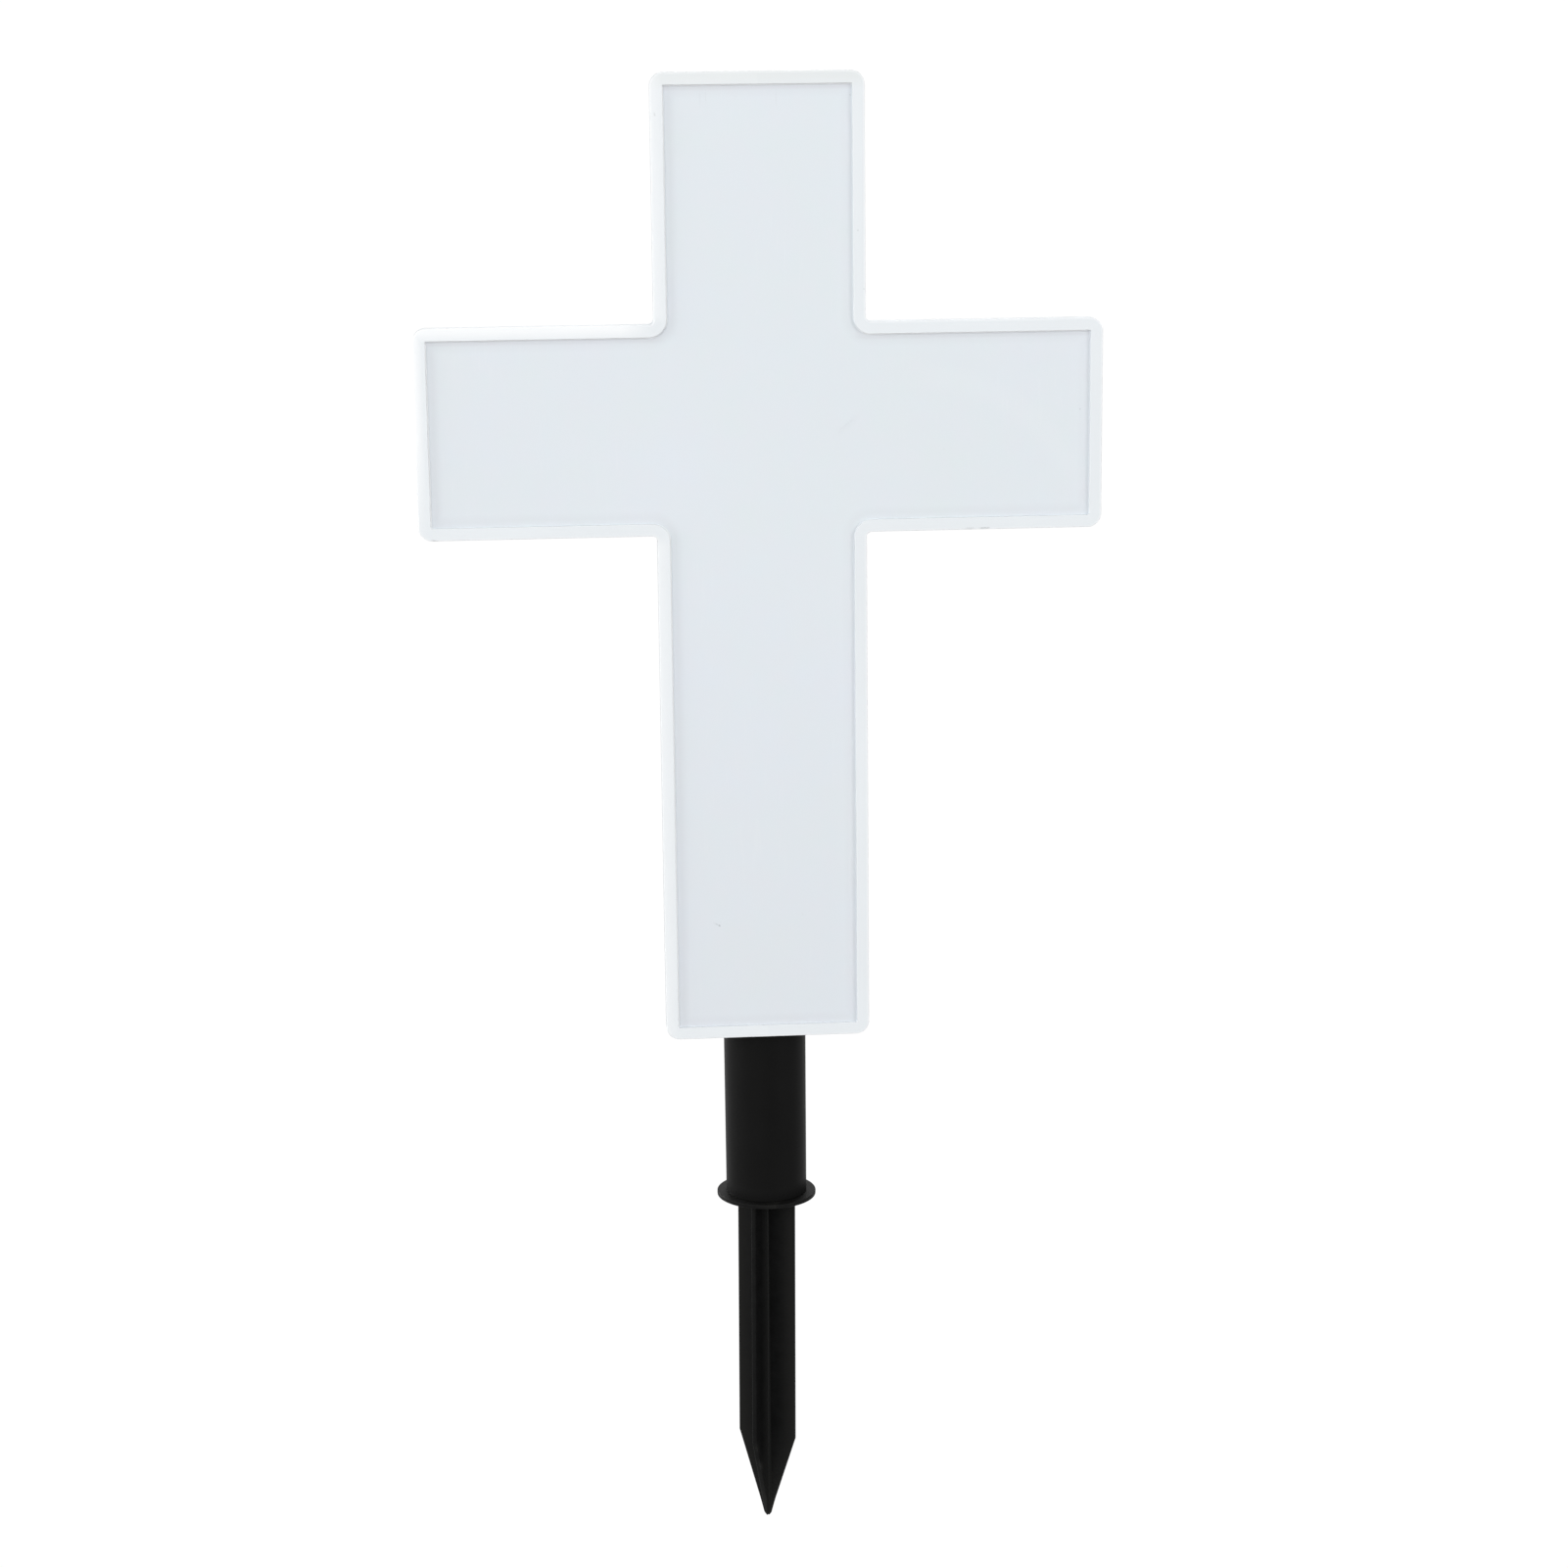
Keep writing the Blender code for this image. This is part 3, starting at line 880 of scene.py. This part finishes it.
class GRAVELIGHT_OT_housing(bpy.types.Operator):
    """Models the white cross: a rim round a recess, a drafted body behind it, and a hollow inside"""

    bl_idname = "grave_light.housing"
    bl_label = "Cross"

    def execute(self, context):
        sizes = context.scene.grave_light_cross
        panels = context.scene.grave_light_panels
        ledge = PANEL_HIGH.y + 0.3 * MM
        rim_back = FRONT + sizes.rim_depth
        back_fine = 0.4 * MM
        land = sizes.rim_width - sizes.rim_edge - sizes.rim_lip
        front = over_edge(sizes.rim_edge, 6)
        front.append((land, 0))
        front += into_hollow(sizes.rim_lip, 5)
        front.append((0, -(ledge - FRONT - sizes.rim_lip)))
        back = [(0, sizes.rim_depth - sizes.rim_edge - back_fine)] + over_edge(back_fine, 4)
        housing = cross_solid(
            "housing_shell", 0, FRONT + sizes.rim_edge, sizes.rim_corner, sizes.rim_hollow, front, back)

        start = (ledge + rim_back) / 2
        wall_run = BACK - sizes.back_edge - start
        lean = tan(sizes.body_draft)
        first = sizes.body_step - (rim_back - start) * lean
        body_back = [(wall_run * lean, wall_run)] + over_edge(sizes.back_edge, 9)
        body = cross_solid(
            "body", first, start, sizes.body_corner, sizes.rim_hollow + sizes.body_step, [], body_back)
        combine(housing, body, "UNION")

        inside_back = BACK - sizes.back_wall
        inside_edge = 1.2 * MM
        inner = sizes.body_step + sizes.wall
        run = inside_back - inside_edge - FRONT
        cavity = cross_solid(
            "cavity", inner, FRONT, sizes.body_corner + sizes.body_step - inner, sizes.rim_hollow + inner,
            [], [(run * lean, run)] + over_edge(inside_edge, 4))
        combine(housing, cavity, "DIFFERENCE")

        self.make_socket(housing, sizes, inner)
        self.make_seat(housing, panels, inside_back)
        finish_piece(housing, [white_plastic()], "housing")
        return {"FINISHED"}

    def make_socket(self, housing, sizes, inner):
        """The tube's hole in the foot, with the round wall that holds the tube inside."""
        radius = TUBE_HIGH.x + 0.3 * MM
        floor = FOOT + inner - sizes.wall / 2
        top = TUBE_HIGH.z + 2 * MM
        outer = radius + 1.4 * MM
        combine(housing, turned("socket", [(0, floor), (outer, floor), (outer, top), (0, top)]), "UNION")
        below, above = FOOT - 10 * MM, top + 10 * MM
        bore = turned("bore", [(0, below), (radius, below), (radius, above), (0, above)])
        combine(housing, bore, "DIFFERENCE")

        def mouth(middle, edge):
            ring = all(abs(vert.co.xy.length - radius) < NEAR for vert in edge.verts)
            return ring and middle.z < floor + NEAR and abs(edge.calc_face_angle_signed(0)) > radians(45)

        round_off(housing, mouth, 0.4 * MM)

    def make_seat(self, housing, panels, inside_back):
        """The shallow seat that the solar panel lies in, with a pad behind it."""
        gap = panels.cell_seam
        floor = CELL_LOW.y - gap
        pad, margin = 2 * MM, 3 * MM
        low = (CELL_LOW.x - margin, floor - pad, CELL_LOW.z - margin)
        high = (CELL_HIGH.x + margin, inside_back + 0.5 * MM, CELL_HIGH.z + margin)
        combine(housing, block("pad", low, high), "UNION")
        low = (CELL_LOW.x - gap, floor, CELL_LOW.z - gap)
        high = (CELL_HIGH.x + gap, BACK + pad, CELL_HIGH.z + gap)
        combine(housing, block("seat", low, high), "DIFFERENCE")

        def mouth(middle, edge):
            across = abs(abs(middle.x) - CELL_HIGH.x - gap) < NEAR
            along = min(abs(middle.z - low[2]), abs(middle.z - high[2])) < NEAR
            return abs(middle.y - BACK) < NEAR and (across or along)

        round_off(housing, mouth, 0.35 * MM)


class GRAVELIGHT_OT_face_panel(bpy.types.Operator):
    """Models the opal panel that lies in the rim"""

    bl_idname = "grave_light.face_panel"
    bl_label = "Face panel"

    def execute(self, context):
        sizes = context.scene.grave_light_cross
        panels = context.scene.grave_light_panels
        inset = sizes.rim_width + panels.seam
        edge = panels.panel_edge
        thick = PANEL_HIGH.y - PANEL_LOW.y
        panel = cross_solid(
            "opal_panel", inset, PANEL_LOW.y + edge, 0.3 * MM, sizes.rim_hollow + inset,
            over_edge(edge, 3), [(0, thick - 2 * edge)] + over_edge(edge, 3))
        finish_piece(panel, [opal_plastic()], "face_panel")
        return {"FINISHED"}


class GRAVELIGHT_OT_solar_panel(bpy.types.Operator):
    """Models the solar panel: a board with cells side by side and a silver line along each"""

    bl_idname = "grave_light.solar_panel"
    bl_label = "Solar panel"
    rows = 5

    def execute(self, context):
        sizes = context.scene.grave_light_panels
        cell_rise, busbar_rise = 0.06 * MM, 0.03 * MM
        face = CELL_HIGH.y - cell_rise - busbar_rise
        panel = block("solar_cells", CELL_LOW, (CELL_HIGH.x, face, CELL_HIGH.z))
        edit(panel)
        pick(panel, "EDGE", lambda middle, edge: CELL_LOW.y + NEAR < middle.y < face - NEAR)
        bevel("EDGES", 0.8 * MM, 4)
        pick(panel, "EDGE", lambda middle, edge: abs(middle.y - face) < NEAR)
        bevel("EDGES", 0.25 * MM, 3)
        for slot in range(3):
            panel.data.materials.append(None)
        low, high = CELL_LOW.z + sizes.cell_border, CELL_HIGH.z - sizes.cell_border
        centre = (low + high) / 2

        def pick_between(centre, reach):
            """Picks the faces of the panel's back whose middles lie near a level."""
            pick(panel, "FACE", lambda middle, element: element.normal.y > 0.99
                 and abs(middle.x) < NEAR and abs(middle.z - centre) < reach)

        pick_between(centre, high - low)
        follow([(sizes.cell_border, 0)])
        row_height = (high - low) / self.rows
        middles = [low + row_height * (row + 0.5) for row in range(self.rows)]
        for middle_of_row in middles[:-1]:
            pick_between(centre, (high - low) / 2)
            cut_at(middle_of_row + row_height / 2)
        pick_between(centre, (high - low) / 2)
        bpy.ops.mesh.inset(thickness=sizes.cell_gap / 2, depth=0, use_individual=True)
        self.give_slot(panel, 1)
        bpy.ops.mesh.inset(thickness=cell_rise, depth=cell_rise, use_individual=True)
        for middle_of_row in middles:
            for side in (-1, 1):
                pick_between(middle_of_row, row_height / 2)
                cut_at(middle_of_row + side * sizes.busbar / 2)
            pick_between(middle_of_row, NEAR)
            self.give_slot(panel, 2)
            bpy.ops.mesh.inset(thickness=busbar_rise, depth=busbar_rise)
        tidy_mesh(panel)
        leave()
        finish_piece(panel, [solar_board(), solar_silicon(), solder_silver()], "solar_panel")
        return {"FINISHED"}

    def give_slot(self, panel, index):
        """The selected faces take the finish in that slot."""
        panel.active_material_index = index
        bpy.ops.object.material_slot_assign()


class GRAVELIGHT_OT_tube(bpy.types.Operator):
    """Models the black tube, open at both ends"""

    bl_idname = "grave_light.tube"
    bl_label = "Tube"

    def execute(self, context):
        sizes = context.scene.grave_light_stake
        outer = TUBE_HIGH.x
        inner = outer - sizes.tube_wall
        low, high = SEAT, TUBE_HIGH.z
        middle = (low + high) / 2
        spread = sizes.tube_spread
        edge, foot_edge = 0.25 * MM, 0.06 * MM
        corners = [
            (outer + spread / 2, middle, 0),
            (outer + spread, high, edge),
            (inner, high, edge),
            (inner, low, foot_edge),
            (outer, low, foot_edge),
            (outer + spread / 2, middle, 0),
        ]
        tube = turned("sleeve_tube", soft_profile(corners), 160)
        settle(tube, 0, sizes.aside)
        finish_piece(tube, [black_tube()], "sleeve")
        return {"FINISHED"}


class GRAVELIGHT_OT_stake(bpy.types.Operator):
    """Models the ground stake: a spigot, a thin round flange and four fins down to a blunt point"""

    bl_idname = "grave_light.stake"
    bl_label = "Ground stake"

    def execute(self, context):
        sizes = context.scene.grave_light_stake
        outer = STAKE_HIGH.x
        spigot = TUBE_HIGH.x - sizes.tube_wall - 0.3 * MM
        bore = spigot - 1.5 * MM
        floor = 2.2 * MM
        seat = SEAT - outer * sin(sizes.lean)
        top = STAKE_HIGH.z
        corners = [
            (0, seat - sizes.flange, 0),
            (outer, seat - sizes.flange, sizes.flange_edge),
            (outer, seat, sizes.flange_edge),
            (spigot, seat, 0),
            (spigot, top, 0.3 * MM),
            (bore, top, 0.3 * MM),
            (bore, floor, 0),
            (0, floor, 0),
        ]
        stake = turned("stake_moulding", soft_profile(corners), 160)
        combine(stake, self.make_fins(sizes, floor / 2), "UNION")
        settle(stake, sizes.lean, sizes.aside)
        finish_piece(stake, [black_stake()], "ground_stake")
        return {"FINISHED"}

    def make_fins(self, sizes, top):
        """The four fins as one plus-shaped bar, drawn in towards the point."""
        half = sizes.fin_thickness / 2
        reach = sizes.fin_reach
        fins = flat_square("fins", 2 * half, 2 * half, (0, 0, top))
        edit(fins)
        four_ways = ((1, 0), (0, 1), (-1, 0), (0, -1))
        for x, y in four_ways:
            pick(fins, "EDGE", lambda middle, edge: (middle.xy - half * Vector((x, y))).length < NEAR)
            carry(x=x * (reach - half), y=y * (reach - half))
        bpy.ops.mesh.select_mode(type="FACE")
        bpy.ops.mesh.select_all(action="SELECT")
        bpy.ops.mesh.normals_make_consistent(inside=False)
        bpy.ops.mesh.dissolve_limited(angle_limit=radians(1))
        pick(fins, "VERT", lambda middle, vertex: max(abs(middle.x), abs(middle.y)) < half + NEAR)
        bevel("VERTICES", sizes.fin_root, 5)
        pick(fins, "VERT", lambda middle, vertex: max(abs(middle.x), abs(middle.y)) > reach - NEAR)
        bevel("VERTICES", sizes.fin_edge, 4)

        point = STAKE_LOW.z
        shoulder = point + sizes.taper
        blunt = 0.8 * MM
        narrow = 2.6 * MM
        share = (narrow - sizes.tip_reach) / (reach - sizes.tip_reach)
        narrow_level = point + blunt + (sizes.taper - blunt) * share
        pick(fins, "FACE", lambda middle, face: True)
        carry(z=shoulder - top)
        carry(z=narrow_level - shoulder)
        far, drawn_in = reach - 2 * sizes.fin_edge, narrow - reach
        for x, y in four_ways:
            pick(fins, "VERT", lambda middle, vertex: abs(middle.z - narrow_level) < NEAR
                 and middle.x * x + middle.y * y > far)
            bpy.ops.transform.translate(value=(x * drawn_in, y * drawn_in, 0))
        for level, next_level, slim in ((narrow_level, point + blunt, 0.465), (point + blunt, point, 0.5)):
            pick(fins, "FACE", lambda middle, face: abs(middle.z - level) < NEAR
                 and abs(face.normal.z) > 0.99)
            carry(z=next_level - level)
            bpy.ops.transform.resize(value=(slim, slim, 1), center_override=(0, 0, next_level))
        tidy_mesh(fins)
        leave()
        fins.rotation_euler.z = sizes.turn
        choose(fins)
        bpy.ops.object.transform_apply(location=False, rotation=True, scale=False)
        return fins


class GRAVELIGHT_OT_studio(bpy.types.Operator):
    """Sets up the pale floor, the white backdrop, the soft lamps and the camera"""

    bl_idname = "grave_light.studio"
    bl_label = "Studio"

    def execute(self, context):
        settings = context.scene.grave_light_studio
        context.scene.view_settings.view_transform = "Standard"
        self.make_floor(settings)
        self.make_world(settings)
        self.lamp("Key", -26, 20, 4.2, 2.2, settings.key_power)
        self.lamp("Fill", 45, 15, 4.2, 2.2, settings.fill_power)
        self.lamp("Left", -80, 10, 2.0, 1.23, settings.left_power)
        self.lamp("Rear", -135, 8, 1.3, 0.6, settings.rear_power, ("sleeve_tube", "stake_moulding"))
        self.lamp("Back", 170, 45, 2.4, 1.4, settings.back_power)
        self.lamp("Side", 140, 15, 2.4, 1.4, settings.side_power, ("housing_shell", "solar_cells"))
        self.make_camera(settings)
        return {"FINISHED"}

    def make_floor(self, settings):
        """A floor just under the stake's point that curves up into a white backdrop."""
        level = STAKE_LOW.z - 1 * MM
        floor = flat_square("floor", 7, 6, (0, -0.4, level))
        edit(floor)
        pick(floor, "EDGE", lambda middle, edge: middle.y > 2.5)
        carry(z=3)
        pick(floor, "EDGE", lambda middle, edge: middle.y > 2.5 and abs(middle.z - level) < NEAR)
        bevel("EDGES", 1.0, 16)
        leave()
        choose(floor)
        bpy.ops.object.shade_smooth()
        finish = Finish("Pale floor")
        paper = finish.drift(settings.floor_white, shaded(settings.floor_white, 0.97), 0.4)
        finish.give("Specular IOR Level", 0.0)
        material = finish.done(paper, 0.9)
        height = finish.parts(finish.place)["Z"]
        lit = finish.span(height, level + 0.1, level + 0.8, settings.floor_glow, settings.backdrop_glow)
        glow = finish.add("Emission", {"Color": WHITE, "Strength": lit})[0]
        both = finish.add("AddShader", {0: finish.shader.outputs[0], 1: glow})[0]
        white = finish.add("Emission", {"Color": WHITE, "Strength": 1.02})[0]
        share = finish.times(finish.add("LightPath")["Is Camera Ray"], 0.99)
        mixed = finish.add("MixShader", {0: share, 1: both, 2: white})[0]
        finish.join(mixed, finish.tree.nodes["Material Output"].inputs["Surface"])
        floor.data.materials.append(material)

    def make_world(self, settings):
        world = bpy.data.worlds.new("Studio")
        world.use_nodes = True
        nodes = Nodes(world.node_tree)
        background = world.node_tree.nodes["Background"].inputs
        nodes.join(WHITE, background["Color"])
        seen = nodes.add("LightPath")["Is Camera Ray"]
        nodes.join(nodes.span(seen, 0, 1, settings.room_light, 1.0), background["Strength"])
        bpy.context.scene.world = world

    def lamp(self, name, bearing, rise, distance, size, watts, pieces=()):
        """A square softbox that looks at the middle of the cross. Its bearing is 0 in front and + to the
        right. Where pieces are named, it lights only those."""
        light = bpy.data.lights.new(name, "AREA")
        light.shape = "SQUARE"
        light.size = size
        light.energy = watts
        lamp = bpy.data.objects.new(name, light)
        lamp.visible_camera = False
        bpy.context.scene.collection.objects.link(lamp)
        target = (CROSS_LOW + CROSS_HIGH) / 2
        out = Euler((-radians(rise), 0, radians(bearing))).to_matrix() @ Vector((0, -distance, 0))
        lamp.location = target + out
        lamp.rotation_euler = (-out).to_track_quat("-Z", "Y").to_euler()
        if pieces:
            lit = bpy.data.collections.new("Lit by " + name)
            for piece in pieces:
                lit.objects.link(bpy.data.objects[piece])
            lamp.light_linking.receiver_collection = lit

    def make_camera(self, settings):
        camera = bpy.data.cameras.new("Camera")
        camera.lens = settings.focal_length
        camera.sensor_width = 36
        holder = bpy.data.objects.new("Camera", camera)
        bpy.context.scene.collection.objects.link(holder)
        aim = Euler((pi / 2 - settings.camera_tilt, 0, -settings.camera_yaw)).to_matrix()
        lean = Matrix.Rotation(settings.camera_roll, 3, "Z")
        holder.matrix_world = Matrix.Translation(settings.camera_place) @ (aim @ lean).to_4x4()
        bpy.context.scene.camera = holder


class GRAVELIGHT_PT_sidebar(bpy.types.Panel):
    """The pieces in the order that they are made, with their sizes and finishes"""

    bl_label = "Grave Light"
    bl_idname = "GRAVELIGHT_PT_sidebar"
    bl_space_type = "VIEW_3D"
    bl_region_type = "UI"
    bl_category = "Grave Light"

    def draw(self, context):
        for operator in OPERATORS:
            self.layout.operator(operator.bl_idname)
        for name, group in SETTINGS.items():
            box = self.layout.box()
            settings = getattr(context.scene, name)
            for prop in group.__annotations__:
                box.prop(settings, prop)


SETTINGS = {
    "grave_light_cross": CrossSizes,
    "grave_light_panels": PanelSizes,
    "grave_light_stake": StakeSizes,
    "grave_light_finishes": Finishes,
    "grave_light_studio": StudioSettings,
}
OPERATORS = (
    GRAVELIGHT_OT_housing,
    GRAVELIGHT_OT_face_panel,
    GRAVELIGHT_OT_solar_panel,
    GRAVELIGHT_OT_tube,
    GRAVELIGHT_OT_stake,
    GRAVELIGHT_OT_studio,
)


def register():
    for cls in (*SETTINGS.values(), *OPERATORS, GRAVELIGHT_PT_sidebar):
        bpy.utils.register_class(cls)
    for name, group in SETTINGS.items():
        setattr(bpy.types.Scene, name, PointerProperty(type=group))


def unregister():
    for name in SETTINGS:
        delattr(bpy.types.Scene, name)
    for cls in reversed((*SETTINGS.values(), *OPERATORS, GRAVELIGHT_PT_sidebar)):
        bpy.utils.unregister_class(cls)


def main():
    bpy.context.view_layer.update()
    register()
    bpy.ops.grave_light.housing()
    bpy.ops.grave_light.face_panel()
    bpy.ops.grave_light.solar_panel()
    bpy.ops.grave_light.tube()
    bpy.ops.grave_light.stake()
    bpy.ops.grave_light.studio()


if __name__ == "__main__":
    main()
